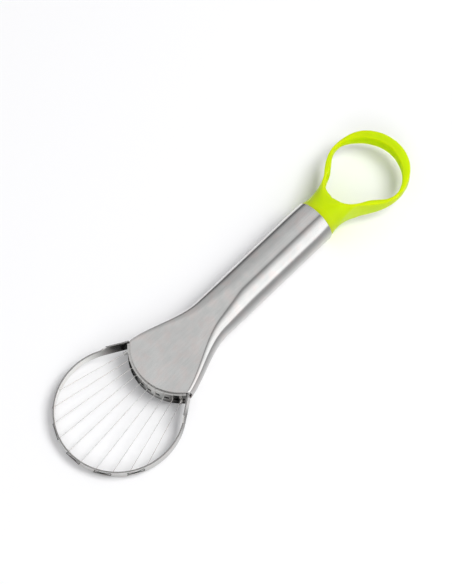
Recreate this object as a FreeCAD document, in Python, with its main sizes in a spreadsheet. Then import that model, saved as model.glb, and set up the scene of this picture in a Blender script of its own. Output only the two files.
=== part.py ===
import FreeCAD, Part
import math
import os

import Sketcher
from FreeCAD import Placement, Rotation, Vector

# Hand tool for avocados, lying on its back: a pressed steel tube handle that
# flattens to a fan, a cutting band with one wire laced in ten strands from
# the band to an upright comb in the fan's mouth, and a moulded pitting loop
# plugged into the tube's open end. Millimetres, +Z up, tube along X. Drawn
# lengths along the handle and the head run toward the band, those along the
# pitting loop run the other way, and both start just outside the tube's end.

doc = FreeCAD.newDocument("avocado_slicer")
sheet = doc.addObject("Spreadsheet::Sheet", "sizes")

DRIVING_DIMENSIONS = {
    # the start of the drawn lengths stands this far from the row's origin
    "collar_place": 58.3,
    # tube handle and its fan
    "tube_radius": 11.5,
    "tube_wall": 0.9,
    "press_start": 58.0,
    "press_end": 120.0,
    "flank_start": 77.0,
    "flank_end": 120.5,
    "fan_reach": 128.0,
    "fan_half_width": 22.3,
    "fan_top_height": 14.3,
    "fan_bottom_height": 2.9,
    "fan_edge_depth": 2.6,
    "fan_side_radius": 6.5,
    "least_flat": 0.2,
    "top_skim": 0.03,
    "skim_run_out": 2.0,
    "side_exponent": 1.5,
    "mouth_half_angle": 62.0,
    "mouth_radius": 26.3,
    "mouth_reach": 124.8,
    # cutting band
    "ring_radius": 33.0,
    "ring_place": 143.4,
    "ring_mid_height": 5.76,
    "band_tilt": 4.8,
    "band_thickness": 0.7,
    "ring_height": 6.0,
    "arm_height": 9.4,
    "arm_angle": 32.5,
    "arm_length": 13.0,
    "tab_angle": 22.0,
    "tab_length": 11.0,
    "tab_height": 4.0,
    "step_place": 18.7,
    "step_length": 2.5,
    # wire, its holes and its crimps
    "wire_radius": 0.17,
    "wire_hole_radius": 0.3,
    "drill_reach": 4.0,
    "band_wire_pitch": 14.6,
    "comb_wire_pitch": 10.1,
    "wire_stub": 0.6,
    "crimp_radius": 0.75,
    "crimp_length": 1.6,
    # comb
    "comb_thickness": 1.5,
    "comb_overhang": 1.0,
    "comb_half_angle": 48.2,
    "comb_wire_height": 8.7,
    "slit_width": 0.4,
    "slot_width": 1.9,
    "slot_height": 0.8,
    # pitting loop
    "collar_lap": 1.2,
    "neck_radius": 11.2,
    "neck_length": 6.0,
    "neck_waist": 10.4,
    "spigot_radius": 10.6,
    "spigot_length": 14.0,
    "spigot_lead": 1.0,
    "loop_start": 2.0,
    "waist_place": 5.3,
    "waist_radius": 10.2,
    "waist_arc": 22.0,
    "waist_start": -0.6,
    "waist_end": 24.8,
}

for row, (alias, value) in enumerate(DRIVING_DIMENSIONS.items(), start=1):
    sheet.set(f"A{row}", alias)
    sheet.set(f"B{row}", str(value))
    sheet.setAlias(f"B{row}", alias)
doc.recompute()


def size(alias):
    return float(sheet.get(alias))


STRANDS = 10
FAN_STEPS = 8
MOUTH_CENTRE = size("mouth_reach") - size("mouth_radius")
SIDE_TURN = math.radians(60)
CLEAR = 40.0

# Shared drawing helpers


def placed(along, up=0.0, tilt=0.0):
    return Placement(Vector(size("collar_place") - along, 0, up), Rotation(Vector(0, 1, 0), -tilt))


def new_body(label, place):
    body = doc.addObject("PartDesign::Body", label)
    body.Label = label
    body.Placement = place
    return body


def new_sketch(body, name, role, offset=None):
    sketch = body.newObject("Sketcher::SketchObject", name)
    plane = [item for item in body.Origin.OriginFeatures if item.Role == role][0]
    sketch.AttachmentSupport = [(plane, "")]
    sketch.MapMode = "FlatFace"
    if offset is not None:
        sketch.AttachmentOffset = offset
    return sketch


def flat_point(pair):
    return Vector(pair[0], pair[1], 0)


def add_lines(sketch, points):
    for begin, end in zip(points, points[1:]):
        sketch.addGeometry(Part.LineSegment(flat_point(begin), flat_point(end)), False)


def add_curve(sketch, points, closed=False):
    curve = Part.BSplineCurve()
    curve.interpolate([flat_point(item) for item in points], PeriodicFlag=closed)
    sketch.addGeometry(curve, False)


def add_arc(sketch, centre, radius, begin, end):
    circle = Part.Circle(flat_point(centre), Vector(0, 0, 1), radius)
    sketch.addGeometry(Part.ArcOfCircle(circle, begin, end), False)


def add_circle(sketch, radius_alias):
    index = sketch.addGeometry(Part.Circle(Vector(0, 0, 0), Vector(0, 0, 1), size(radius_alias)))
    sketch.addConstraint(Sketcher.Constraint("Coincident", index, 3, -1, 1))
    rule = sketch.addConstraint(Sketcher.Constraint("Radius", index, size(radius_alias)))
    sketch.setExpression(f"Constraints[{rule}]", f"sizes.{radius_alias}")


def add_feature(body, kind, name, profile, **settings):
    feature = body.newObject(f"PartDesign::{kind}", name)
    feature.Profile = profile
    for key, value in settings.items():
        setattr(feature, key, value)
    return feature


def through_pocket(body, name, profile):
    return add_feature(body, "Pocket", name, profile, Type="ThroughAll", Midplane=True)


def mirrored(points):
    return points + [(along, -across) for along, across in reversed(points[:-1])]


def primitive(kind, name, **settings):
    item = doc.addObject(f"Part::{kind}", name)
    for key, value in settings.items():
        setattr(item, key, value)
    return item


def fused(label, shapes):
    whole = doc.addObject("Part::MultiFuse", label)
    whole.Label = label
    whole.Shapes = shapes
    return whole


# Handle: a round tube, pressed from above until its mouth is a wide flat oval


def fan_top(along):
    drop = 2 * size("tube_radius") - size("fan_top_height")
    travel = (along - size("press_start")) / (size("press_end") - size("press_start"))
    return 2 * size("tube_radius") - drop * travel


def fan_bottom(along):
    travel = (along - size("press_start")) / (size("press_end") - size("press_start"))
    return size("fan_bottom_height") * travel


def fan_half_width(along):
    spread = (along - size("flank_start")) / (size("flank_end") - size("flank_start"))
    spread = min(max(spread, 0.0), 1.0)
    gain = size("fan_half_width") - size("tube_radius")
    return size("tube_radius") + gain * spread * spread * (3 - 2 * spread)


def fan_section(along):
    # sizes of the section seen along the tube: a flat top and bottom joined by arcs
    travel = (along - size("press_start")) / (size("press_end") - size("press_start"))
    still_round = max(1 - travel, 0.0) ** size("side_exponent")
    half = fan_half_width(along)
    depth = size("fan_edge_depth") + (size("tube_radius") - size("fan_edge_depth")) * still_round
    flat = max(half - depth, size("least_flat"))
    bulge = size("tube_radius") + (size("fan_side_radius") - size("tube_radius")) * travel
    corner = (half - flat - bulge * (1 - math.sin(SIDE_TURN))) / math.sin(SIDE_TURN)
    waist = fan_top(along) - corner * (1 - math.cos(SIDE_TURN)) - bulge * math.cos(SIDE_TURN)
    under = min(waist - fan_bottom(along) - size("least_flat"), half - size("least_flat"))
    return half, flat, bulge, corner, waist, under


def draw_fan_section(sketch, along, inset):
    half, flat, bulge, corner, waist, under = fan_section(along)
    top, bottom = fan_top(along) - inset, fan_bottom(along) + inset
    side, right = half - inset, math.pi / 2
    lean = right - SIDE_TURN
    low = fan_bottom(along) + under
    add_lines(sketch, [(-flat, top), (flat, top)])
    add_arc(sketch, (flat, top + inset - corner), corner - inset, lean, right)
    add_arc(sketch, (half - bulge, waist), bulge - inset, 0, lean)
    add_lines(sketch, [(side, waist), (side, low)])
    add_arc(sketch, (half - under, low), under - inset, -right, 0)
    add_lines(sketch, [(half - under, bottom), (under - half, bottom)])
    add_arc(sketch, (under - half, low), under - inset, 2 * right, 3 * right)
    add_lines(sketch, [(-side, low), (-side, waist)])
    add_arc(sketch, (bulge - half, waist), bulge - inset, 2 * right - lean, 2 * right)
    add_arc(sketch, (-flat, top + inset - corner), corner - inset, right, 2 * right - lean)


def across_tube(along):
    return Placement(Vector(0, 0, -along), Rotation())


def fan_loft(body, name, kind, inset, ruled):
    sections = []
    step = (size("fan_reach") - size("press_start")) / FAN_STEPS
    for number in range(FAN_STEPS + 1):
        along = size("press_start") + step * number
        sketch = new_sketch(body, f"{name}_{number}", "YZ_Plane", across_tube(along))
        draw_fan_section(sketch, along, inset)
        sections.append(sketch)
    doc.recompute()
    return add_feature(body, kind, name, sections[0], Sections=sections[1:], Ruled=ruled)


def make_handle():
    body = new_body("handle_shell", placed(0))
    outer = new_sketch(body, "tube_outline", "YZ_Plane", across_tube(size("collar_lap")))
    draw_fan_section(outer, size("press_start"), 0.0)
    tube = add_feature(body, "Pad", "tube", outer, Reversed=True)
    tube.setExpression("Length", "sizes.press_start - sizes.collar_lap")
    doc.recompute()
    fan_loft(body, "fan", "AdditiveLoft", 0.0, False)
    doc.recompute()
    bore_outline = new_sketch(body, "bore_outline", "YZ_Plane")
    draw_fan_section(bore_outline, size("press_start"), size("tube_wall"))
    bore = add_feature(body, "Pocket", "bore", bore_outline)
    bore.setExpression("Length", "sizes.press_start")
    doc.recompute()
    fan_loft(body, "hollow", "SubtractiveLoft", size("tube_wall"), True)
    doc.recompute()
    # the press leaves the fan's top truly flat
    near, far = size("press_start") - size("skim_run_out"), size("fan_reach")
    skim = new_sketch(body, "flat_top", "XZ_Plane")
    add_lines(skim, [
        (-near, fan_top(near) - size("top_skim")), (-far, fan_top(far) - size("top_skim")),
        (-far, CLEAR), (-near, CLEAR), (-near, fan_top(near) - size("top_skim")),
    ])
    through_pocket(body, "fan_face", skim)
    doc.recompute()
    mouth = new_sketch(body, "mouth_outline", "XY_Plane")
    radius = size("mouth_radius")
    side = math.radians(size("mouth_half_angle"))
    corner = (-MOUTH_CENTRE - radius * math.cos(side), radius * math.sin(side))
    add_arc(mouth, (-MOUTH_CENTRE, 0), radius, math.pi - side, math.pi + side)
    add_lines(mouth, [
        (corner[0], -corner[1]),
        (corner[0], -CLEAR),
        (-MOUTH_CENTRE - CLEAR, -CLEAR),
        (-MOUTH_CENTRE - CLEAR, CLEAR),
        (corner[0], CLEAR),
        corner,
    ])
    through_pocket(body, "mouth", mouth)
    doc.recompute()
    return body


# Comb: an upright curved strip that stands between the fan's two plates


def draw_height_trim(sketch, shift, low_line, high_line):
    # everything above the upper line and below the lower one, in side view
    near, far = shift - CLEAR, shift + CLEAR
    add_lines(sketch, [
        (-near, high_line(near)), (-far, high_line(far)), (-far, 2 * CLEAR),
        (-near, 2 * CLEAR), (-near, high_line(near)),
    ])
    add_lines(sketch, [
        (-near, low_line(near)), (-far, low_line(far)), (-far, -2 * CLEAR),
        (-near, -2 * CLEAR), (-near, low_line(near)),
    ])


def make_comb():
    body = new_body("wire_comb", placed(MOUTH_CENTRE))
    outside = size("mouth_radius") + size("comb_overhang")
    inside = outside - size("comb_thickness")
    side = math.radians(size("comb_half_angle"))
    strip = new_sketch(body, "strip_outline", "XY_Plane")
    add_arc(strip, (0, 0), outside, math.pi - side, math.pi + side)
    add_arc(strip, (0, 0), inside, math.pi - side, math.pi + side)
    for way in (-1, 1):
        across, along = way * math.sin(side), -math.cos(side)
        add_lines(strip, [(inside * along, inside * across), (outside * along, outside * across)])
    add_feature(body, "Pad", "strip", strip, Length=CLEAR)
    trim = new_sketch(body, "plate_gap", "XZ_Plane", Placement(Vector(MOUTH_CENTRE, 0, 0), Rotation()))
    wall = size("tube_wall")
    draw_height_trim(
        trim, MOUTH_CENTRE, lambda along: fan_bottom(along) + wall, lambda along: fan_top(along) - wall
    )
    doc.recompute()
    through_pocket(body, "between_plates", trim)
    doc.recompute()
    first = -(STRANDS - 1) / 2 * size("comb_wire_pitch")
    turned = Placement(Vector(0, 0, 0), Rotation(Vector(0, 1, 0), first))
    slit = new_sketch(body, "slit_outline", "YZ_Plane", turned)
    level = size("comb_wire_height")
    half_slot, half_slit = size("slot_width") / 2, size("slit_width") / 2
    low, high = level - size("slot_height") / 2, level + size("slot_height") / 2
    add_lines(slit, [
        (-half_slot, low), (half_slot, low), (half_slot, high), (-half_slot + 2 * half_slit, high),
        (-half_slot + 2 * half_slit, CLEAR), (-half_slot, CLEAR), (-half_slot, low),
    ])
    cut = add_feature(body, "Pocket", "slit", slit, Length=CLEAR)
    doc.recompute()
    pattern = body.newObject("PartDesign::PolarPattern", "slits")
    pattern.Originals = [cut]
    pattern.Axis = (slit, ["V_Axis"])
    pattern.Angle = (STRANDS - 1) * size("comb_wire_pitch")
    pattern.Occurrences = STRANDS
    body.Tip = pattern
    doc.recompute()
    return body


# Strands: where each one passes the comb and the band, in the tool's frame


def spread_angle(number, pitch_alias):
    return math.radians((number - (STRANDS - 1) / 2) * size(pitch_alias))


def comb_wire_radius():
    return size("mouth_radius") + size("comb_overhang") - size("comb_thickness") - size("wire_radius")


def comb_point(number):
    turn = spread_angle(number, "comb_wire_pitch")
    reach = comb_wire_radius()
    local = Vector(-reach * math.cos(turn), reach * math.sin(turn), size("comb_wire_height"))
    return placed(MOUTH_CENTRE).multVec(local)


def band_place():
    return placed(size("ring_place"), size("ring_mid_height"), size("band_tilt"))


def band_point(number):
    # a run is straight, so its corners stand off a little where its middle lies on the band
    turn = spread_angle(number, "band_wire_pitch")
    half_pitch = math.radians(size("band_wire_pitch") / 2)
    reach = (size("ring_radius") + size("wire_radius")) / math.cos(half_pitch)
    return band_place().multVec(Vector(-reach * math.cos(turn), reach * math.sin(turn), 0))


def strand_way(number):
    return (band_point(number) - comb_point(number)).normalize()


def aimed(start, way):
    return Placement(start, Rotation(Vector(0, 0, 1), way))


def comb_place():
    return placed(MOUTH_CENTRE, size("comb_wire_height"))


def make_strand(number):
    label = f"cutting_wire_{number + 1:02d}"
    way = strand_way(number)
    start = comb_point(number) + way * size("wire_stub")
    strand = primitive("Cylinder", label, Label=label, Placement=aimed(start, way))
    strand.setExpression("Radius", "sizes.wire_radius")
    strand.Height = (band_point(number) - comb_point(number)).Length - 2 * size("wire_stub")
    return strand


def make_bend(name, place, corners, ways):
    # a short taut run of wire between two strands, with a mitred corner and a stub at each end
    body = new_body(name, place)
    path = new_sketch(body, f"{name}_path", "XY_Plane")
    local = [place.inverse().multVec(corner) for corner in corners]
    flat_ways = [place.Rotation.inverted().multVec(way) for way in ways]
    stubs = [
        Vector(corner.x, corner.y, 0) + Vector(way.x, way.y, 0).normalize() * size("wire_stub")
        for corner, way in zip(local, flat_ways)
    ]
    line = [stubs[0], local[0], local[1], stubs[1]]
    add_lines(path, [(point.x, point.y) for point in line])
    doc.recompute()
    section = body.newObject("Sketcher::SketchObject", f"{name}_section")
    section.AttachmentSupport = [(path, "Edge1")]
    section.MapMode = "NormalToEdge"
    add_circle(section, "wire_radius")
    doc.recompute()
    edges = ["Edge1", "Edge2", "Edge3"]
    add_feature(
        body, "AdditivePipe", f"{name}_wire", section, Spine=(path, edges), Transition="Right corner"
    )
    doc.recompute()
    return body


def make_band_bends():
    runs = []
    for number in range(0, STRANDS, 2):
        pair = (number, number + 1)
        corners = [band_point(item) for item in pair]
        ways = [strand_way(item) * -1 for item in pair]
        runs.append(make_bend(f"band_run_{number}", band_place(), corners, ways))
    return fused("wire_bends_band", runs)


def make_comb_bends():
    runs = []
    for number in range(1, STRANDS - 1, 2):
        pair = (number, number + 1)
        corners = [comb_point(item) for item in pair]
        ways = [strand_way(item) for item in pair]
        runs.append(make_bend(f"comb_run_{number}", comb_place(), corners, ways))
    return fused("wire_bends_comb", runs)


def make_crimps():
    # the wire's two ends stand behind the comb, each held by a pressed sleeve in front of it
    sleeves = []
    for number in (0, STRANDS - 1):
        way = strand_way(number)
        turn = spread_angle(number, "comb_wire_pitch")
        outward = Vector(-math.cos(turn), math.sin(turn), 0)
        slant = way.getAngle(outward)
        through = (size("comb_thickness") + size("wire_radius")) / math.cos(slant)
        start = comb_point(number) + way * (through + size("crimp_radius") * math.tan(slant))
        sleeve = primitive("Cylinder", f"crimp_sleeve_{number}", Placement=aimed(start, way))
        sleeve.setExpression("Radius", "sizes.crimp_radius")
        sleeve.setExpression("Height", "sizes.crimp_length")
        core = primitive("Cylinder", f"crimp_core_{number}", Placement=aimed(start, way))
        core.setExpression("Radius", "sizes.wire_radius")
        core.setExpression("Height", "sizes.crimp_length")
        sleeves.append(primitive("Cut", f"crimp_{number}", Base=sleeve, Tool=core))
    return fused("wire_crimps", sleeves)


# Band: one strip bent to a ring, with its two arms let into the fan's mouth


def band_side(face):
    # one half of the strip's plan from the tip to the tab, face 0 outside and 1 inside
    radius = size("ring_radius") - face * size("band_thickness")
    arm = math.radians(size("arm_angle"))
    tab = math.radians(size("tab_angle"))
    join = (radius * math.sin(arm), radius * math.cos(arm))
    inward = face * size("band_thickness") * math.tan((arm - tab) / 2)
    arm_end = (
        join[0] + (size("arm_length") + inward) * math.cos(arm),
        join[1] - (size("arm_length") + inward) * math.sin(arm),
    )
    tab_end = (
        arm_end[0] + (size("tab_length") - inward) * math.cos(tab),
        arm_end[1] - (size("tab_length") - inward) * math.sin(tab),
    )
    return [join, arm_end, tab_end]


def make_band(handle):
    body = new_body("band_strip", band_place())
    plan = new_sketch(body, "band_plan", "XY_Plane")
    arm = math.radians(size("arm_angle"))
    for face in (0, 1):
        radius = size("ring_radius") - face * size("band_thickness")
        add_arc(plan, (0, 0), radius, math.pi / 2 - arm, 3 * math.pi / 2 + arm)
        for way in (1, -1):
            add_lines(plan, [(along, way * across) for along, across in band_side(face)])
    for way in (1, -1):
        tips = [band_side(face)[-1] for face in (0, 1)]
        add_lines(plan, [(along, way * across) for along, across in tips])
    doc.recompute()
    strip = add_feature(body, "Pad", "strip_height", plan, Midplane=True)
    strip.Length = 2 * size("arm_height") - size("ring_height")
    doc.recompute()
    trim = new_sketch(body, "height_steps", "XZ_Plane")
    low, ring_top = -size("ring_height") / 2, size("ring_height") / 2
    arm_top = low + size("arm_height")
    tab_start = band_side(0)[1][0]
    tab_mid = size("comb_wire_height") - size("ring_mid_height")
    tab_low, tab_top = tab_mid - size("tab_height") / 2, tab_mid + size("tab_height") / 2
    step = size("step_place")
    add_lines(trim, [
        (-CLEAR, ring_top), (step - size("step_length"), ring_top), (step, arm_top),
        (tab_start, arm_top), (tab_start, tab_top), (2 * CLEAR, tab_top), (2 * CLEAR, CLEAR),
        (-CLEAR, CLEAR), (-CLEAR, ring_top),
    ])
    add_lines(trim, [
        (-CLEAR, low), (tab_start, low), (tab_start, tab_low), (2 * CLEAR, tab_low),
        (2 * CLEAR, -CLEAR), (-CLEAR, -CLEAR), (-CLEAR, low),
    ])
    through_pocket(body, "stepped_edges", trim)
    doc.recompute()
    drills = []
    for number in range(STRANDS):
        way = strand_way(number)
        start = band_point(number) - way * size("drill_reach")
        drill = primitive("Cylinder", f"wire_hole_{number}", Placement=aimed(start, way))
        drill.setExpression("Radius", "sizes.wire_hole_radius")
        drill.setExpression("Height", "2 * sizes.drill_reach")
        drills.append(drill)
    holes = fused("wire_holes", drills)
    drilled = primitive("Cut", "drilled_strip", Base=body, Tool=holes)
    return primitive("Cut", "cutting_band", Label="cutting_band", Base=drilled, Tool=handle)


# Pitting loop: one moulding, a round neck that parts into a ring seen from above


LOOP_OUTSIDE = [
    (13.4, 10.6), (17.4, 12.0), (22.4, 15.6), (27.2, 18.7), (32.4, 20.9), (38.0, 21.7),
    (43.6, 20.9), (48.9, 18.8), (53.4, 15.4), (56.8, 10.9), (59.0, 5.6), (59.8, 0.0),
]
LOOP_HOLE = [
    (11.0, 0.0), (13.4, 6.6), (18.9, 11.0), (24.5, 13.5), (28.5, 16.4), (32.8, 19.2), (38.0, 20.1),
    (43.0, 18.6), (47.1, 15.8), (50.4, 12.4), (52.6, 8.5), (54.1, 4.3), (54.6, 0.0),
]
LOOP_HALF_HEIGHTS = [
    (2.0, 11.2), (6.0, 10.2), (10.0, 9.1), (15.0, 7.3), (20.0, 5.9), (28.0, 4.0), (36.0, 2.6),
    (41.0, 2.5), (47.0, 3.5), (53.0, 3.9), (61.0, 3.3),
]


def make_loop():
    body = new_body("pitter_loop", placed(0, size("tube_radius")))
    core = new_sketch(body, "neck_profile", "XY_Plane")
    plug, lead, collar = size("spigot_length"), size("spigot_lead"), -size("collar_lap")
    add_lines(core, [
        (-plug, 0), (-plug, size("spigot_radius") - lead), (-plug + lead, size("spigot_radius")),
        (collar, size("spigot_radius")), (collar, size("neck_radius")),
        (size("neck_length"), size("neck_radius")), (size("neck_length"), 0), (-plug, 0),
    ])
    add_feature(body, "Revolution", "neck", core, ReferenceAxis=(core, ["H_Axis"]), Angle=360)
    doc.recompute()
    plan = new_sketch(body, "loop_plan", "XY_Plane")
    start = (size("loop_start"), size("neck_waist"))
    outline = mirrored([start] + LOOP_OUTSIDE)
    add_curve(plan, outline)
    add_lines(plan, [outline[-1], outline[0]])
    add_feature(body, "Pad", "ring_block", plan, Length=2 * size("neck_radius"), Midplane=True)
    doc.recompute()
    hole = new_sketch(body, "hole_plan", "XY_Plane")
    round_hole = LOOP_HOLE + [(along, -across) for along, across in reversed(LOOP_HOLE[1:-1])]
    add_curve(hole, round_hole, closed=True)
    through_pocket(body, "ring_hole", hole)
    doc.recompute()
    side = new_sketch(body, "ring_heights", "XZ_Plane")
    for way in (1, -1):
        heights = [(along, way * up) for along, up in LOOP_HALF_HEIGHTS]
        far = way * CLEAR
        add_curve(side, heights)
        add_lines(side, [heights[-1], (heights[-1][0], far), (heights[0][0], far), heights[0]])
    through_pocket(body, "side_profile", side)
    doc.recompute()
    # the neck's round waist, which runs out into the ring's two flanks
    envelope = new_sketch(body, "neck_envelope", "XY_Plane")
    waist, radius = size("waist_place"), size("waist_arc")
    level = size("waist_radius") + radius
    begin, end = size("waist_start"), size("waist_end")
    turns = [math.asin((along - waist) / radius) for along in (begin, end)]
    heights = [level - radius * math.cos(turn) for turn in turns]
    add_arc(envelope, (waist, level), radius, turns[0] - math.pi / 2, turns[1] - math.pi / 2)
    add_lines(envelope, [(end, heights[1]), (end, 2 * CLEAR), (begin, 2 * CLEAR), (begin, heights[0])])
    add_feature(body, "Groove", "neck_round", envelope, ReferenceAxis=(envelope, ["H_Axis"]), Angle=360)
    doc.recompute()
    return body


# Build, check and write

handle_shell = make_handle()
wire_comb = make_comb()
cutting_band = make_band(handle_shell)
sub_parts = [handle_shell, wire_comb, cutting_band, make_loop()]
sub_parts += [make_strand(number) for number in range(STRANDS)]
sub_parts += [make_band_bends(), make_comb_bends(), make_crimps()]
doc.recompute()

for item in doc.Objects:
    if "Invalid" in item.State or "Error" in item.State:
        raise RuntimeError(f"{item.Name} did not build: {item.State}")

os.makedirs("parts", exist_ok=True)
for item in sub_parts:
    if item.Shape.isNull() or not item.Shape.isValid():
        raise RuntimeError(f"{item.Label} has no sound shape")
    item.Shape.exportStep(f"parts/{item.Label}.step")
    box = item.Shape.BoundBox
    print(
        f"{item.Label}: {item.Shape.Volume:.1f} mm3, {len(item.Shape.Solids)} solids,"
        f" x {box.XMin:.2f} to {box.XMax:.2f}, y {box.YMin:.2f} to {box.YMax:.2f},"
        f" z {box.ZMin:.2f} to {box.ZMax:.2f}"
    )
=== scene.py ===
import math

import bmesh
import bpy
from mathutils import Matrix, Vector


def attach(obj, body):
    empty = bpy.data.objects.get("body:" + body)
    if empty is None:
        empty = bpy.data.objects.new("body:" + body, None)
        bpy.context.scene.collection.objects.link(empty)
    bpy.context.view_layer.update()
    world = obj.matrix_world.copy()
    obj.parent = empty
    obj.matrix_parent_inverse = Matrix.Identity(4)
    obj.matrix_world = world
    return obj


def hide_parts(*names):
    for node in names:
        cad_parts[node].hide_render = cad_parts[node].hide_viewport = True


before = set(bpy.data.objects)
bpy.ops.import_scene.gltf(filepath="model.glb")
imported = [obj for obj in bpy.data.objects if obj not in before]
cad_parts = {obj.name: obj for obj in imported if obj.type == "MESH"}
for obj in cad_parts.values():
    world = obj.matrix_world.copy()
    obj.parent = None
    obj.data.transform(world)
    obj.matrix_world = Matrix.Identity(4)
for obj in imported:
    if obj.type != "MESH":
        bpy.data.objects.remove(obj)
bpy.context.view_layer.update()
print("frame loaded:", len(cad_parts), "nodes")

mm = 0.001
collarPlace = 58.3  # where the drawn lengths start, from the middle of the tool, in mm
collarLap = 1.2  # the collar covers the tube's end by this much


# Helpers for colours, nodes and meshes

def rgba(hexText):
    channels = [int(hexText[i:i + 2], 16) / 255 for i in (1, 3, 5)]
    return [c / 12.92 if c <= 0.04045 else ((c + 0.055) / 1.055) ** 2.4 for c in channels] + [1.0]


def addNode(tree, kind, settings=None, inputs=None, stops=None):
    # stops are a ramp's: each a place and a grey or a colour
    node = tree.nodes.new("ShaderNode" + kind)
    for key, value in (settings or {}).items():
        setattr(node, key, value)
    for key, value in (inputs or {}).items():
        socket = node.inputs[key]
        if hasattr(value, "is_linked"):
            tree.links.new(value, socket)
        else:
            socket.default_value = value
    if stops:
        elements = node.color_ramp.elements
        while len(elements) < len(stops):
            elements.new(0.5)
        for element, (place, colour) in zip(elements, stops):
            element.position = place
            element.color = [colour] * 3 + [1.0] if isinstance(colour, float) else colour
    return node


def newMaterial(name):
    material = bpy.data.materials.new(name)
    material.use_nodes = True
    tree = material.node_tree
    return material, tree, tree.nodes["Principled BSDF"]


def meshObject(name, bm, material, smooth=True):
    bmesh.ops.remove_doubles(bm, verts=bm.verts, dist=0.00001 * mm)
    bmesh.ops.recalc_face_normals(bm, faces=bm.faces)
    mesh = bpy.data.meshes.new(name)
    bm.to_mesh(mesh)
    bm.free()
    for face in mesh.polygons:
        face.use_smooth = smooth
    mesh.materials.append(material)
    piece = bpy.data.objects.new(name, mesh)
    bpy.context.scene.collection.objects.link(piece)
    return piece


def addLoop(bm, points):
    ring = [bm.verts.new(point) for point in points]
    return [bm.edges.new((ring[i - 1], ring[i])) for i in range(len(ring))]


def bridgeAll(bm, loops, closed=False):
    pairs = list(zip(loops, loops[1:]))
    if closed:
        pairs.append((loops[-1], loops[0]))
    for first, second in pairs:
        bmesh.ops.bridge_loops(bm, edges=first + second)


def smoothLine(points, perSpan):
    # a soft line through a few places, as a curve with automatic handles draws it
    curve = bpy.data.curves.new("guide", "CURVE")
    curve.dimensions = "3D"
    curve.resolution_u = perSpan
    spline = curve.splines.new("BEZIER")
    spline.bezier_points.add(len(points) - 1)
    for knot, point in zip(spline.bezier_points, points):
        knot.co = (point[0], point[1], 0)
        knot.handle_left_type = knot.handle_right_type = "AUTO"
    guide = bpy.data.objects.new("guide", curve)
    mesh = bpy.data.meshes.new_from_object(guide)
    line = [(vertex.co.x, vertex.co.y) for vertex in mesh.vertices]
    bpy.data.objects.remove(guide)
    bpy.data.curves.remove(curve)
    bpy.data.meshes.remove(mesh)
    return line


def heightAt(line, along):
    for begin, end in zip(line, line[1:]):
        if begin[0] <= along <= end[0]:
            share = (along - begin[0]) / max(end[0] - begin[0], 1e-9)
            return begin[1] + share * (end[1] - begin[1])
    return line[0][1] if along < line[0][0] else line[-1][1]


# Steel and plastic: patterns are sized in mm, which a noise takes as features to the metre

def perMetre(size):
    return 1 / (size * mm)


steel = {
    "cloudSize": 11.1, "patchSize": 5.26, "streakLines": 3, "soft": (0.35, 0.65),
    "patchTints": ("#F9FBFB", "#FCFCFC", "#FFFAF9"),
    "leastRough": 0.8, "mostRough": 1.25, "relief": 0.04, "depth": 0.02,
    "rimShadeTurn": (0.55, 0.85),
}


def grainedSteel(name, colour, roughness, grain, spread, paintedRimShade=None):
    # grain is the size of one line in mm along X, Y and Z, coarser than the real one so it shows
    material, tree, shader = newMaterial(name)
    place = addNode(tree, "TexCoord").outputs["Object"]
    low, high = steel["soft"]
    dark = [c * (1 - spread) for c in rgba(colour)[:3]] + [1.0]
    cloud = addNode(tree, "TexNoise", inputs={
        "Vector": place, "Scale": perMetre(steel["cloudSize"]), "Detail": 2.0})
    tone = addNode(tree, "ValToRGB", inputs={"Fac": cloud.outputs["Fac"]}, stops=[
        (low, dark), (high, rgba(colour))]).outputs["Color"]
    # streaks of the drawing, a few lines wide, that still show from a step away
    wide = addNode(tree, "Mapping", inputs={
        "Vector": place, "Scale": [perMetre(size * steel["streakLines"]) for size in grain]})
    band = addNode(tree, "TexNoise", inputs={
        "Vector": wide.outputs["Vector"], "Scale": 1.0, "Detail": 2.0})
    drawn = addNode(tree, "ValToRGB", inputs={"Fac": band.outputs["Fac"]}, stops=[
        (low, 1 - spread / 2), (high, 1.0)])
    # a breath of heat tint in slow patches
    patch = addNode(tree, "TexNoise", inputs={
        "Vector": place, "Scale": perMetre(steel["patchSize"]), "Detail": 3.0})
    tint = addNode(tree, "ValToRGB", inputs={"Fac": patch.outputs["Fac"]}, stops=[
        (at, rgba(text)) for at, text in zip((low, 0.5, high), steel["patchTints"])])
    for layer in (drawn, tint):
        tone = addNode(tree, "MixRGB", {"blend_type": "MULTIPLY"}, {
            "Fac": 1.0, "Color1": tone, "Color2": layer.outputs["Color"]}).outputs["Color"]
    if paintedRimShade:
        # painted shade: the strip's narrow faces, up and down, are painted darker, a painted dark
        # reflection
        facing = addNode(tree, "TexCoord").outputs["Normal"]
        upward = addNode(tree, "SeparateXYZ", inputs={"Vector": facing}).outputs["Z"]
        level = addNode(tree, "Math", {"operation": "ABSOLUTE"}, {0: upward}).outputs[0]
        cut = addNode(tree, "ValToRGB", inputs={"Fac": level}, stops=[
            (steel["rimShadeTurn"][0], 0.0), (steel["rimShadeTurn"][1], 1.0)])
        tone = addNode(tree, "MixRGB", inputs={
            "Fac": cut.outputs["Color"], "Color1": tone, "Color2": rgba(paintedRimShade)}).outputs["Color"]
    tree.links.new(tone, shader.inputs["Base Color"])
    lines = addNode(tree, "Mapping", inputs={
        "Vector": place, "Scale": [perMetre(size) for size in grain]})
    streak = addNode(tree, "TexNoise", inputs={
        "Vector": lines.outputs["Vector"], "Scale": 1.0, "Detail": 3.0}).outputs["Fac"]
    rough = addNode(tree, "MapRange", inputs={
        "Value": streak, "To Min": roughness * steel["leastRough"],
        "To Max": roughness * steel["mostRough"]})
    tree.links.new(rough.outputs["Result"], shader.inputs["Roughness"])
    bump = addNode(tree, "Bump", inputs={
        "Height": streak, "Strength": steel["relief"], "Distance": steel["depth"] * mm})
    tree.links.new(bump.outputs["Normal"], shader.inputs["Normal"])
    shader.inputs["Metallic"].default_value = 1.0
    return material


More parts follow.
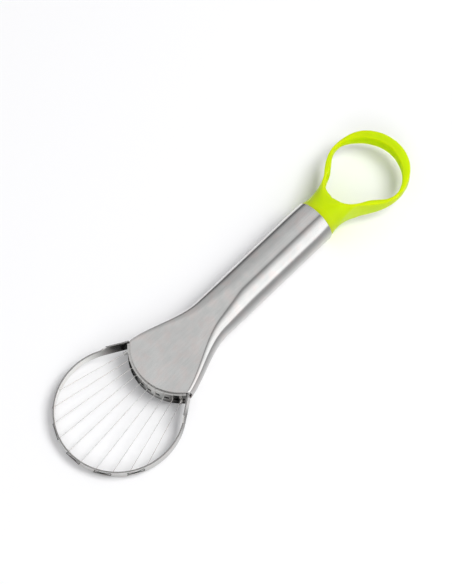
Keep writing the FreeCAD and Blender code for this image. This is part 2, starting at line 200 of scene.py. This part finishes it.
# tumbled and polished tube: sharp reflections with a faint lengthwise drawing grain
polishedTubeSteel = grainedSteel("polished_tube_steel", "#EBEAE9", 0.13, (30, 0.25, 0.25), 0.08)
# rolled strip of the cutting band, brighter, grain round the ring, with painted shade on its
# narrow faces
rolledBandSteel = grainedSteel(
    "rolled_band_steel", "#F0EFED", 0.2, (12, 12, 0.15), 0.04, paintedRimShade="#A6A5A4")
# stamped strip of the comb, duller than the rest
stampedCombSteel = grainedSteel("stamped_comb_steel", "#E2E1DF", 0.2, (0.6, 0.6, 0.6), 0.06)
# drawn wire, bright and hard
drawnWireSteel = grainedSteel("drawn_wire_steel", "#F6F5F3", 0.22, (4, 0.1, 0.1), 0.03)
# the same wire where it was pulled over the band's outside, painted dark: painted shade and
# painted dark reflection
shadedWireSteel = grainedSteel("wire_with_painted_shade", "#3A3937", 0.4, (0.1, 4, 0.1), 0.2)

punched = {"tearSize": 0.4, "roughness": (0.2, 0.45), "brightAbove": 10.0, "blend": 0.01}


def shadedCutSteel(name, colour, cutShade):
    # the strip's cut faces where the slots were punched: painted shade, near black below the top
    # edge, bright along the top edge
    material, tree, shader = newMaterial(name)
    place = addNode(tree, "TexCoord").outputs["Object"]
    level = addNode(tree, "SeparateXYZ", inputs={"Vector": place}).outputs["Z"]
    share = addNode(tree, "MapRange", inputs={
        "Value": level, "From Max": 2 * punched["brightAbove"] * mm}).outputs["Result"]
    tone = addNode(tree, "ValToRGB", inputs={"Fac": share}, stops=[
        (0.5 - punched["blend"], rgba(cutShade)), (0.5 + punched["blend"], rgba(colour))])
    tree.links.new(tone.outputs["Color"], shader.inputs["Base Color"])
    torn = addNode(tree, "TexNoise", inputs={
        "Vector": place, "Scale": perMetre(punched["tearSize"]), "Detail": 2.0})
    rough = addNode(tree, "MapRange", inputs={
        "Value": torn.outputs["Fac"], "To Min": punched["roughness"][0],
        "To Max": punched["roughness"][1]})
    tree.links.new(rough.outputs["Result"], shader.inputs["Roughness"])
    shader.inputs["Metallic"].default_value = 1.0
    return material


combCutShadeSteel = shadedCutSteel("comb_cut_faces_painted_shade", "#DEDDDB", "#171716")

plastic = {
    "cloudSize": 16.7, "cloudStep": (0.3, 0.7), "peelSize": 1.11, "peelRelief": 0.08,
    "peelDepth": 0.05, "lightShare": 0.85, "lightReach": 9, "lightTint": (0.8, 1.0, 0.2),
}


def mouldedPlastic(name, colour, shade, gloss, roughness):
    # dyed moulding with a faint orange peel and a little light going into it
    material, tree, shader = newMaterial(name)
    place = addNode(tree, "TexCoord").outputs["Object"]
    cloud = addNode(tree, "TexNoise", inputs={
        "Vector": place, "Scale": perMetre(plastic["cloudSize"]), "Detail": 2.0})
    low, high = plastic["cloudStep"]
    tone = addNode(tree, "ValToRGB", inputs={"Fac": cloud.outputs["Fac"]}, stops=[
        (low, rgba(shade)), (high, rgba(colour))])
    tree.links.new(tone.outputs["Color"], shader.inputs["Base Color"])
    peel = addNode(tree, "TexNoise", inputs={
        "Vector": place, "Scale": perMetre(plastic["peelSize"]), "Detail": 1.0})
    bump = addNode(tree, "Bump", inputs={
        "Height": peel.outputs["Fac"], "Strength": plastic["peelRelief"],
        "Distance": plastic["peelDepth"] * mm})
    tree.links.new(bump.outputs["Normal"], shader.inputs["Normal"])
    shader.inputs["Roughness"].default_value = roughness
    # the dye reaches the skin, so the gloss is a little yellow
    shader.inputs["Specular Tint"].default_value = rgba(gloss)
    shader.inputs["Subsurface Weight"].default_value = plastic["lightShare"]
    shader.inputs["Subsurface Radius"].default_value = plastic["lightTint"]
    shader.inputs["Subsurface Scale"].default_value = plastic["lightReach"] * mm
    return material


limeMoulding = mouldedPlastic("lime_moulding", "#C4DC00", "#BDD400", "#EAF59A", 0.38)
print("materials made")


# Handle: the pressed tube as one sheet, from the open end to the mouth, in mm

handle = {
    "tubeRadius": 11.5, "wall": 0.9, "pressStart": 58.0, "pressEnd": 120.0,
    "flankStart": 77.0, "flankEnd": 120.5, "fanHalfWidth": 22.3,
    "topHeight": 14.3, "bottomHeight": 2.9, "edgeDepth": 2.6, "sideRadius": 6.5, "leastFlat": 0.2,
    "roundFall": 1.5, "mouthRadius": 26.3, "mouthReach": 124.8, "mouthRounds": 6, "sideTurn": 60,
    "tubeSteps": 6, "fanSteps": 36, "flatSteps": 6, "cornerSteps": 12, "sideSteps": 6,
    "edgeRounding": 0.3, "edgeSegments": 3, "edgeAngle": 50,
}


def fanTravel(along):
    return max(along - handle["pressStart"], 0) / (handle["pressEnd"] - handle["pressStart"])


def fanTop(along):
    tubeTop = 2 * handle["tubeRadius"]
    return tubeTop - (tubeTop - handle["topHeight"]) * fanTravel(along)


def fanBottom(along):
    return handle["bottomHeight"] * fanTravel(along)


def fanHalfWidth(along):
    spread = (along - handle["flankStart"]) / (handle["flankEnd"] - handle["flankStart"])
    spread = min(max(spread, 0.0), 1.0)
    eased = spread ** 2 * (3 - 2 * spread)
    return handle["tubeRadius"] + (handle["fanHalfWidth"] - handle["tubeRadius"]) * eased


def arcPoints(centre, radius, begin, end, count):
    turns = [begin + (end - begin) * i / count for i in range(count + 1)]
    return [(centre[0] + radius * math.cos(t), centre[1] + radius * math.sin(t)) for t in turns]


def fanSection(along):
    # one half of the section, from the middle of the top round to the middle of the bottom
    travel = fanTravel(along)
    stillRound = max(1 - travel, 0.0) ** handle["roundFall"]
    half = fanHalfWidth(along)
    depth = handle["edgeDepth"] + (handle["tubeRadius"] - handle["edgeDepth"]) * stillRound
    flat = max(half - depth, handle["leastFlat"])
    bulge = handle["tubeRadius"] + (handle["sideRadius"] - handle["tubeRadius"]) * travel
    turn = math.radians(handle["sideTurn"])
    corner = (half - flat - bulge * (1 - math.sin(turn))) / math.sin(turn)
    top, bottom = fanTop(along), fanBottom(along)
    waist = top - corner * (1 - math.cos(turn)) - bulge * math.cos(turn)
    under = min(waist - bottom - handle["leastFlat"], half - handle["leastFlat"])
    right = math.pi / 2
    steps, cornerSteps = handle["flatSteps"], handle["cornerSteps"]
    points = [(flat * i / steps, top) for i in range(steps)]
    points += arcPoints((flat, top - corner), corner, right, right - turn, cornerSteps)
    points += arcPoints((half - bulge, waist), bulge, right - turn, 0, handle["sideSteps"])[1:]
    points += arcPoints((half - under, bottom + under), under, 0, -right, cornerSteps)
    points += [((half - under) * i / steps, bottom) for i in reversed(range(steps))]
    return points


def mouthAlong(across):
    centre = handle["mouthReach"] - handle["mouthRadius"]
    return centre + math.sqrt(handle["mouthRadius"] ** 2 - across ** 2)


def fanPoint(share, index):
    # a point of the sheet: share runs from the press's start to the mouth's curved edge
    along = handle["pressStart"] + share * (handle["mouthReach"] - handle["pressStart"])
    for _ in range(handle["mouthRounds"]):
        across, up = fanSection(along)[index]
        along = handle["pressStart"] + share * (mouthAlong(across) - handle["pressStart"])
    return along, across, up


def inRow(along, across, up):
    return Vector((collarPlace - along, across, up)) * mm


def buildHandle():
    bm = bmesh.new()
    count = len(fanSection(0))
    halves = []
    for step in range(handle["tubeSteps"]):
        along = collarLap + (handle["pressStart"] - collarLap) * step / handle["tubeSteps"]
        halves.append([(along, across, up) for across, up in fanSection(handle["pressStart"])])
    for step in range(handle["fanSteps"] + 1):
        halves.append([fanPoint(step / handle["fanSteps"], index) for index in range(count)])
    loops = []
    for half in halves:
        whole = half + [(along, -across, up) for along, across, up in reversed(half[1:-1])]
        loops.append(addLoop(bm, [inRow(*point) for point in whole]))
    bridgeAll(bm, loops)
    piece = meshObject("pressed_tube_handle", bm, polishedTubeSteel)
    sheet = piece.modifiers.new("wall", "SOLIDIFY")
    sheet.thickness = handle["wall"] * mm
    sheet.offset = -1
    sheet.use_even_offset = True
    edge = piece.modifiers.new("rolled_edges", "BEVEL")
    edge.width = handle["edgeRounding"] * mm
    edge.segments = handle["edgeSegments"]
    edge.limit_method = "ANGLE"
    edge.angle_limit = math.radians(handle["edgeAngle"])
    return piece


handlePiece = buildHandle()
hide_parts("handle_shell")
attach(handlePiece, "root")
print("handle built")


# Pitting loop: a round neck with its plug, and the ring as sections round its hole, in mm

loop = {
    "outside": [
        (13.4, 10.6), (17.4, 12.0), (22.4, 15.6), (27.2, 18.7), (32.4, 20.9), (38.0, 21.7),
        (43.6, 20.9), (48.9, 18.8), (53.4, 15.4), (56.8, 10.9), (59.0, 5.6), (59.8, 0.0),
    ],
    "hole": [
        (11.0, 0.0), (13.4, 6.6), (18.9, 11.0), (24.5, 13.5), (28.5, 16.4), (32.8, 19.2),
        (38.0, 20.1), (43.0, 18.6), (47.1, 15.8), (50.4, 12.4), (52.6, 8.5), (54.1, 4.3),
        (54.6, 0.0),
    ],
    "halfHeights": [
        (2.0, 11.2), (6.0, 10.2), (10.0, 9.1), (15.0, 7.3), (20.0, 5.9), (28.0, 4.0),
        (36.0, 2.6), (41.0, 2.5), (47.0, 3.5), (53.0, 3.9), (61.0, 3.3),
    ],
    "start": (2.0, 10.4), "middle": 34.0, "lineSteps": 8, "stations": 240,
    "waistPlace": 5.3, "waistRadius": 10.2, "waistArc": 22.0, "waistStart": -0.6,
    "waistEnd": 24.8, "waistSteps": 32,
    "edgeRadius": 0.7, "mostEdge": 0.4, "edgeSteps": 4, "leastHalf": 0.1, "leastSpare": 0.2,
    "rimShares": (0.1, 0.25, 0.4, 0.55, 0.7, 0.85, 0.95),
    "neckRadius": 11.2, "neckStop": 3.2, "neckSpare": 0.03, "neckSink": 2, "neckSteps": 96,
    "collarEdge": 0.25, "collarCut": 0.07,
    "spigotRadius": 10.6, "spigotLength": 14.0, "spigotLead": 1.0, "foldAngle": 35,
}
outsideHalf = smoothLine([loop["start"]] + loop["outside"], loop["lineSteps"])
outsideLine = [(loop["start"][0], 0.0)] + outsideHalf
holeHalf = smoothLine(loop["hole"], loop["lineSteps"])
heightLine = smoothLine(loop["halfHeights"], loop["lineSteps"])
envelopeLine = []
for step in range(loop["waistSteps"] + 1):
    begin = loop["waistStart"]
    begin += (loop["waistEnd"] - loop["waistStart"]) * step / loop["waistSteps"]
    sink = math.sqrt(loop["waistArc"] ** 2 - (begin - loop["waistPlace"]) ** 2)
    envelopeLine.append((begin, loop["waistRadius"] + loop["waistArc"] - sink))


def reachAt(line, turn):
    # where a ray from the ring's middle meets one half of an outline
    way = (math.cos(turn), math.sin(turn))
    for begin, end in zip(line, line[1:]):
        ax, ay = begin[0] - loop["middle"], begin[1]
        bx, by = end[0] - loop["middle"], end[1]
        first, second = ax * way[1] - ay * way[0], bx * way[1] - by * way[0]
        if first * second <= 0 and abs(first - second) > 1e-12:
            share = first / (first - second)
            x, y = ax + share * (bx - ax), ay + share * (by - ay)
            if x * way[0] + y * way[1] > 0:
                return math.hypot(x, y)
    return math.hypot(line[-1][0] - loop["middle"], line[-1][1])


def ringHalfHeight(along, across):
    height = heightAt(heightLine, along)
    if along < loop["waistEnd"]:
        spare = heightAt(envelopeLine, along) ** 2 - across ** 2
        height = min(height, math.sqrt(max(spare, loop["leastSpare"] ** 2)))
    return height


def beyondTube(along, across, up):
    # counted outward from the tube's open end, with the height from the tube's axis
    return Vector((collarPlace + along, across, handle["tubeRadius"] + up)) * mm


def ringSection(turn):
    side = 1 if turn <= math.pi else -1
    folded = turn if turn <= math.pi else 2 * math.pi - turn
    inner, outer = reachAt(holeHalf, folded), reachAt(outsideLine, folded)
    width = outer - inner
    edge = min(loop["edgeRadius"], width * loop["mostEdge"])
    corner = [math.pi / 2 * i / loop["edgeSteps"] for i in range(loop["edgeSteps"] + 1)]
    spans = [(width - edge + edge * math.cos(a), edge * (1 - math.sin(a))) for a in corner]
    spans += [(edge + (width - 2 * edge) * (1 - share), 0) for share in loop["rimShares"]]
    spans += [(edge - edge * math.sin(a), edge * (1 - math.cos(a))) for a in corner]
    top = []
    for reach, drop in spans:
        along = loop["middle"] + (inner + reach) * math.cos(folded)
        across = (inner + reach) * math.sin(folded)
        up = max(ringHalfHeight(along, across) - drop, loop["leastHalf"])
        top.append((along, side * across, up))
    points = top + [top[-1][:2] + (0.0,)]
    points += [(along, across, -up) for along, across, up in reversed(top)]
    points += [top[0][:2] + (0.0,)]
    return [beyondTube(*point) for point in points]


def buildRing():
    bm = bmesh.new()
    turns = [2 * math.pi * i / loop["stations"] for i in range(loop["stations"])]
    bridgeAll(bm, [addLoop(bm, ringSection(turn)) for turn in turns], closed=True)
    return meshObject("ring", bm, limeMoulding)


def buildNeck():
    # the plug in the tube, the collar over its end and the start of the waist, spun in one
    plug, spigot, lead = loop["spigotLength"], loop["spigotRadius"], loop["spigotLead"]
    neck, edge, cut = loop["neckRadius"], loop["collarEdge"], loop["collarCut"]
    stop = loop["neckStop"]
    profile = [
        (-plug, 0), (-plug, spigot - lead), (-plug + lead, spigot),
        (-collarLap, spigot), (-collarLap, neck - edge),
        (cut - collarLap, neck - cut), (edge - collarLap, neck),
    ]
    profile += [(at, up + loop["neckSpare"]) for at, up in envelopeLine if at <= stop]
    profile += [(stop, neck - loop["neckSink"]), (stop, 0)]
    bm = bmesh.new()
    line = [bm.verts.new(beyondTube(along, 0, up)) for along, up in profile]
    edges = [bm.edges.new(pair) for pair in zip(line, line[1:])]
    bmesh.ops.spin(
        bm, geom=line + edges, cent=beyondTube(0, 0, 0), axis=(1, 0, 0), angle=2 * math.pi,
        steps=loop["neckSteps"], use_merge=True,
    )
    return meshObject("neck", bm, limeMoulding)


def united(name, base, extra, material):
    # one closed skin from two that overlap, with its folds kept crisp
    joint = base.modifiers.new("joint", "BOOLEAN")
    joint.operation = "UNION"
    joint.solver = "EXACT"
    joint.object = extra
    graph = bpy.context.evaluated_depsgraph_get()
    mesh = bpy.data.meshes.new_from_object(base.evaluated_get(graph), depsgraph=graph)
    mesh.name = name
    mesh.set_sharp_from_angle(angle=math.radians(loop["foldAngle"]))
    mesh.materials.clear()
    mesh.materials.append(material)
    for part in (base, extra):
        bpy.data.objects.remove(part)
    piece = bpy.data.objects.new(name, mesh)
    bpy.context.scene.collection.objects.link(piece)
    return piece


loopPiece = united("pitting_loop_moulding", buildRing(), buildNeck(), limeMoulding)
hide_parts("pitter_loop")
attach(loopPiece, "root")
print("loop built")


# Comb: a curved strip with a slot for each strand and the slit by which the wire is let in, in mm

comb = {
    "strands": 10, "pitch": 10.1, "halfAngle": 48.2, "radius": 27.3, "thickness": 1.5,
    "wireHeight": 8.7, "slotAside": 2.1, "slotPast": 0.45, "slotHeight": 1.7, "slitWidth": 0.12,
    "endLeft": 0.7, "gap": 0.02, "fill": 3,
}


def combColumns():
    # where the strip's columns turn to, and which of them are open in the slots and the slits
    perWidth, fill = 1 / comb["radius"], comb["fill"]
    edge = math.radians(comb["halfAngle"])
    end = edge - comb["endLeft"] * perWidth
    turns, slots, slits = [-edge], [], []
    for strand in range(comb["strands"]):
        centre = math.radians((strand - (comb["strands"] - 1) / 2) * comb["pitch"])
        low = max(centre - comb["slotAside"] * perWidth, -end)
        high = min(centre + comb["slotPast"] * perWidth, end)
        begin = turns[-1]
        turns += [begin + (low - begin) * i / fill for i in range(1, fill)]
        slots += [len(turns), len(turns) + 1]
        slits.append(len(turns) + 1)
        turns += [low, high - comb["slitWidth"] * perWidth, high]
    turns += [turns[-1] + (edge - turns[-1]) * i / fill for i in range(1, fill + 1)]
    return turns, slots, slits


def combLevels(along):
    spare = handle["wall"] + comb["gap"]
    halfSlot = comb["slotHeight"] / 2
    return [
        fanBottom(along) + spare, comb["wireHeight"] - halfSlot, comb["wireHeight"] + halfSlot,
        fanTop(along) - spare,
    ]


def buildComb():
    turns, slots, slits = combColumns()
    columns, rows = len(turns) - 1, len(combLevels(0)) - 1
    bm = bmesh.new()
    bmesh.ops.create_grid(bm, x_segments=columns, y_segments=rows, size=0.5)
    cut = []
    for face in bm.faces:
        middle = face.calc_center_median()
        column, row = int((middle.x + 0.5) * columns), int((middle.y + 0.5) * rows)
        if (row == 1 and column in slots) or (row == 2 and column in slits):
            cut.append(face)
    bmesh.ops.delete(bm, geom=cut, context="FACES")
    centre = handle["mouthReach"] - handle["mouthRadius"]
    for vertex in bm.verts:
        turn = turns[round((vertex.co.x + 0.5) * columns)]
        along = centre + comb["radius"] * math.cos(turn)
        up = combLevels(along)[round((vertex.co.y + 0.5) * rows)]
        vertex.co = inRow(along, comb["radius"] * math.sin(turn), up)
    piece = meshObject("slotted_comb_strip", bm, stampedCombSteel, smooth=False)
    piece.data.materials.append(combCutShadeSteel)
    sheet = piece.modifiers.new("strip", "SOLIDIFY")
    sheet.thickness = comb["thickness"] * mm
    sheet.offset = -1
    sheet.material_offset_rim = 1
    return piece


combPiece = buildComb()
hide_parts("wire_comb")
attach(combPiece, "root")
print("comb built")


# The other nodes keep their solids and get their finish, the band and the outer wire runs with
# painted shade

replacedNodes = ("handle_shell", "pitter_loop", "wire_comb")
finishesWithPaintedShade = {"cutting_band": rolledBandSteel, "wire_bends_band": shadedWireSteel}
for name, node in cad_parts.items():
    if name not in replacedNodes:
        node.data.materials.clear()
        node.data.materials.append(finishesWithPaintedShade.get(name, drawnWireSteel))
print("finishes given")


# Floor: one white sheet. Mirror rays see it with painted shade and painted light, as the steel in
# the photograph mirrors it.

sweep = {"size": 3.0, "white": 0.93, "roughness": 0.9, "inBand": "#F4F4F3"}

# places on the sheet in mm, that the layers below measure from
landmarks = {
    "fromBand": (-85, 0, 0), "fromCorner": (-64, 19.5, 0), "fromComb": (-40.2, 0, 0),
    "fromLoop": (93, 0, 0),
}

# a layer follows one length over a span in mm, with a tone at each share of that span
layers = {
    # painted shade for mirror rays: the sheet fades to dark beside the tube
    "sheet": ("across", (-240, 240), [
        (0.0, 0.42), (0.25, 0.34), (0.371, 0.34), (0.407, 0.38), (0.429, 0.45), (0.443, 0.53),
        (0.454, 0.60), (0.463, 0.72), (0.5, 0.9), (0.573, 0.93), (0.604, 0.2), (0.667, 0.11),
        (0.85, 0.22), (1.0, 0.32),
    ]),
    # painted light for mirror rays: it stays bright round the head, more so to the lower left of
    # the band's outside
    "atHead": ("along", (-62, -5), [(0.0, 0.95), (1.0, 0.0)]),
    "pastBand": ("fromBand", (31, 34), [(0.0, 0.0), (1.0, 1.0)]),
    "roundHead": ("across", (-40, 40), [
        (0.0, 0.66), (0.3, 0.68), (0.42, 1.0), (0.55, 1.2), (0.8, 1.1), (1.0, 1.0),
    ]),
    # painted shade for mirror rays: it is dark in the two corners between the fan's mouth and the
    # arms
    "corners": ("fromCorner", (0, 16), [(0.2, 0.16), (0.6, 0.55), (1.0, 1.0)]),
    "beforeMouth": ("along", (-60, -56), [(0.0, 1.0), (1.0, 0.0)]),
    # painted shade for mirror rays at the foot of the comb, least lit below its left half and its
    # right end
    "foot": ("fromComb", (27.3, 37.3), [(0.17, 0.1), (0.25, 1.0)]),
    "side": ("across", (-24, 24), [
        (0.1, 0.1), (0.15, 0.9), (0.42, 0.9), (0.5, 0.75), (0.6, 0.5), (0.7, 0.4), (0.95, 0.35),
    ]),
    "nearComb": ("fromComb", (27.3, 37.3), [(0.6, 1.0), (1.0, 0.0)]),
    "betweenArms": ("aside", (20.5, 22.5), [(0.0, 1.0), (1.0, 0.0)]),
    # painted lime light for mirror rays inside the pitting loop, standing for the light its walls
    # throw
    "inLoop": ("fromLoop", (0, 26), [(0.65, rgba("#E8FF10")), (0.9, 1.0)]),
}


def mirroredTone(tree):
    place = addNode(tree, "TexCoord").outputs["Object"]
    axes = addNode(tree, "SeparateXYZ", inputs={"Vector": place}).outputs
    aside = addNode(tree, "Math", {"operation": "ABSOLUTE"}, {0: axes["Y"]}).outputs[0]
    folded = addNode(tree, "CombineXYZ", inputs={"X": axes["X"], "Y": aside}).outputs["Vector"]
    lengths = {"along": axes["X"], "across": axes["Y"], "aside": aside}
    for name, spot in landmarks.items():
        start = folded if name == "fromCorner" else place
        lengths[name] = addNode(tree, "VectorMath", {"operation": "DISTANCE"}, {
            0: start, 1: Vector(spot) * mm}).outputs["Value"]
    tones = {}
    for name, (length, span, stops) in layers.items():
        share = addNode(tree, "MapRange", inputs={
            "Value": lengths[length], "From Min": span[0] * mm, "From Max": span[1] * mm})
        tones[name] = addNode(
            tree, "ValToRGB", inputs={"Fac": share.outputs["Result"]}, stops=stops,
        ).outputs["Color"]
    headTone = addNode(tree, "MixRGB", inputs={
        "Fac": tones["pastBand"], "Color1": rgba(sweep["inBand"]), "Color2": tones["roundHead"]})
    within = tones["nearComb"]
    for limit in ("beforeMouth", "betweenArms"):
        within = addNode(tree, "Math", {"operation": "MULTIPLY"}, {
            0: within, 1: tones[limit]}).outputs[0]
    shade = addNode(tree, "MixRGB", {"blend_type": "MULTIPLY"}, {
        "Fac": 1.0, "Color1": tones["foot"], "Color2": tones["side"]})
    tone = tones["sheet"]
    for blend, share, over in (
        ("MIX", tones["atHead"], headTone.outputs["Color"]),
        ("MULTIPLY", tones["beforeMouth"], tones["corners"]),
        ("MULTIPLY", within, shade.outputs["Color"]),
        ("MULTIPLY", 1.0, tones["inLoop"]),
    ):
        tone = addNode(tree, "MixRGB", {"blend_type": blend}, {
            "Fac": share, "Color1": tone, "Color2": over}).outputs["Color"]
    return tone


def buildFloor():
    material, tree, shader = newMaterial("white_sweep")
    path = addNode(tree, "LightPath")
    colour = addNode(tree, "MixRGB", inputs={
        "Fac": path.outputs["Is Glossy Ray"], "Color1": [sweep["white"]] * 3 + [1.0],
        "Color2": mirroredTone(tree)})
    tree.links.new(colour.outputs["Color"], shader.inputs["Base Color"])
    shader.inputs["Roughness"].default_value = sweep["roughness"]
    shader.inputs["Specular IOR Level"].default_value = 0.0
    bm = bmesh.new()
    bmesh.ops.create_grid(bm, x_segments=1, y_segments=1, size=sweep["size"] / 2)
    floor = meshObject("floor", bm, material)


buildFloor()
print("floor built")


# Room and lamps

studio = {
    "ambient": 0.47, "ambientColour": (0.97, 0.97, 1.0, 1.0),
    "lampDistance": 2.5, "lampSize": 1.25,
    "keyWay": (0.355, -0.373, 0.857), "keyPower": 40.0,
    "fillWay": (-0.55, -0.5, 0.67), "fillPower": 13.0,
    # the room as the metal mirrors it, from its far side over the top to the front: dim, a dark
    # gap overhead, then the soft window
    "roomTones": [
        (0.0, 0.32), (0.02, 0.40), (0.035, 0.46), (0.10, 0.50), (0.25, 0.55), (0.38, 0.69),
        (0.46, 0.70), (0.52, 0.66), (0.545, 0.5), (0.572, 0.2), (0.600, 0.38), (0.622, 0.47),
        (0.66, 0.72), (0.72, 0.98), (0.79, 1.2), (0.95, 1.28), (0.98, 1.15), (1.0, 0.8),
    ],
    # the end of the room past the head, seen by edges that face away from the tube, is dark too
    "endTones": [(0.1, 0.12), (0.3, 1.0)],
}


def buildWorld():
    world = bpy.data.worlds.new("studio")
    bpy.context.scene.world = world
    world.use_nodes = True
    tree = world.node_tree
    tree.nodes.clear()
    way = addNode(tree, "TexCoord").outputs["Generated"]
    axes = addNode(tree, "SeparateXYZ", inputs={"Vector": way}).outputs
    toward = addNode(tree, "Math", {"operation": "MULTIPLY"}, {0: axes["Y"], 1: -1.0}).outputs[0]
    turn = addNode(tree, "Math", {"operation": "ARCTAN2"}, {0: toward, 1: axes["Z"]}).outputs[0]
    tones = []
    for value, reach, stops in (
        (turn, math.pi / 2, studio["roomTones"]), (axes["X"], 1.0, studio["endTones"]),
    ):
        share = addNode(tree, "MapRange", inputs={
            "Value": value, "From Min": -reach, "From Max": reach})
        tones.append(addNode(
            tree, "ValToRGB", inputs={"Fac": share.outputs["Result"]}, stops=stops))
    room = addNode(tree, "MixRGB", {"blend_type": "MULTIPLY"}, {
        "Fac": 1.0, "Color1": tones[0].outputs["Color"], "Color2": tones[1].outputs["Color"]})
    path = addNode(tree, "LightPath")
    plain = addNode(tree, "Background", inputs={
        "Color": studio["ambientColour"], "Strength": studio["ambient"]})
    seen = addNode(tree, "Background", inputs={"Color": [1, 1, 1, 1], "Strength": 1.0})
    mirrored = addNode(tree, "Background", inputs={"Color": room.outputs["Color"]})
    whole = plain
    for ray, over in (("Is Glossy Ray", mirrored), ("Is Camera Ray", seen)):
        whole = addNode(tree, "MixShader", inputs={
            0: path.outputs[ray], 1: whole.outputs[0], 2: over.outputs[0]})
    addNode(tree, "OutputWorld", inputs={"Surface": whole.outputs[0]})


def buildLamp(name, way, power):
    lamp = bpy.data.lights.new(name, "AREA")
    lamp.shape = "SQUARE"
    lamp.size = studio["lampSize"]
    lamp.energy = power
    piece = bpy.data.objects.new(name, lamp)
    way = Vector(way).normalized()
    piece.location = way * studio["lampDistance"]
    piece.rotation_euler = way.to_track_quat("Z", "Y").to_euler()
    piece.visible_glossy = False
    bpy.context.scene.collection.objects.link(piece)


buildWorld()
buildLamp("soft_key", studio["keyWay"], studio["keyPower"])
buildLamp("soft_fill", studio["fillWay"], studio["fillPower"])
print("studio built")


# Camera, as the photograph was taken

photo = {
    "place": (-498.4, -465.9, 1445.2), "way": (0.3118, 0.2966, -0.9027),
    "focalPixels": 3165.3, "widthPixels": 452, "sensor": 36.0, "seenFrom": 0.05, "seenTo": 20.0,
}


def buildCamera():
    lens = bpy.data.cameras.new("photo_camera")
    lens.sensor_fit = "HORIZONTAL"
    lens.sensor_width = photo["sensor"]
    lens.lens = photo["focalPixels"] / photo["widthPixels"] * photo["sensor"]
    lens.clip_start = photo["seenFrom"]
    lens.clip_end = photo["seenTo"]
    camera = bpy.data.objects.new("photo_camera", lens)
    camera.location = Vector(photo["place"]) * mm
    camera.rotation_euler = Vector(photo["way"]).to_track_quat("-Z", "Y").to_euler()
    bpy.context.scene.collection.objects.link(camera)
    bpy.context.scene.camera = camera


buildCamera()
bpy.context.scene.view_settings.view_transform = "Standard"

print("scene ready")
